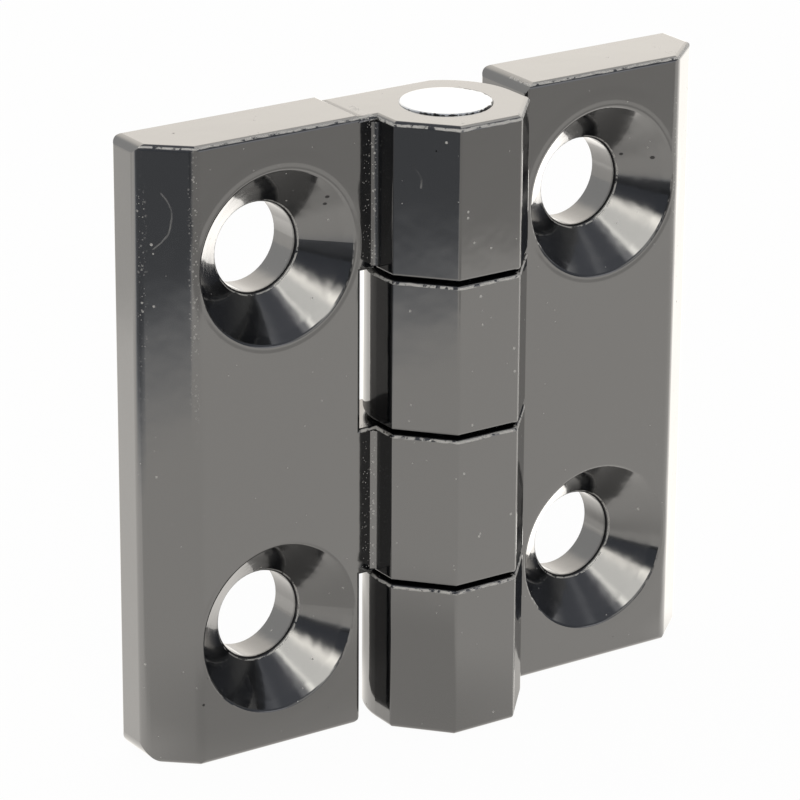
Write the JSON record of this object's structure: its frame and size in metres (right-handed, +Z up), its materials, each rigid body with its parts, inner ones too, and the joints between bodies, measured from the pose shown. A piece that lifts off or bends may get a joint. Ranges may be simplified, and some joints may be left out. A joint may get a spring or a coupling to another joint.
{
  "type": "hinge",
  "caption": "Square block hinge opened flat: two cast leaves with faceted knuckles on a steel pin, countersunk screw holes, gloss black coat.",
  "frame": {"origin": "on the pin's axis at the lower edge that the opened hinge stands on", "axes": "+X from the pin to the right leaf, +Y out of the mounting faces, +Z up along the pin; the front faces -Y"},
  "size_m": [0.0614, 0.0149, 0.0597],
  "materials": {
    "black_coat": "gloss",
    "bare_steel": "satin"
  },
  "bodies": {
    "left_leaf": {"left_leaf": "black_coat", "hinge_pin": "bare_steel"},
    "right_leaf": {"right_leaf": "black_coat"}
  },
  "joints": [
    {"name": "leaf_fold", "type": "hinge", "parent": "left_leaf", "child": "right_leaf", "pos_m": [0, 0, 0.02985], "axis": [0, 0, -1], "range_deg": [-95, 180]}
  ]
}
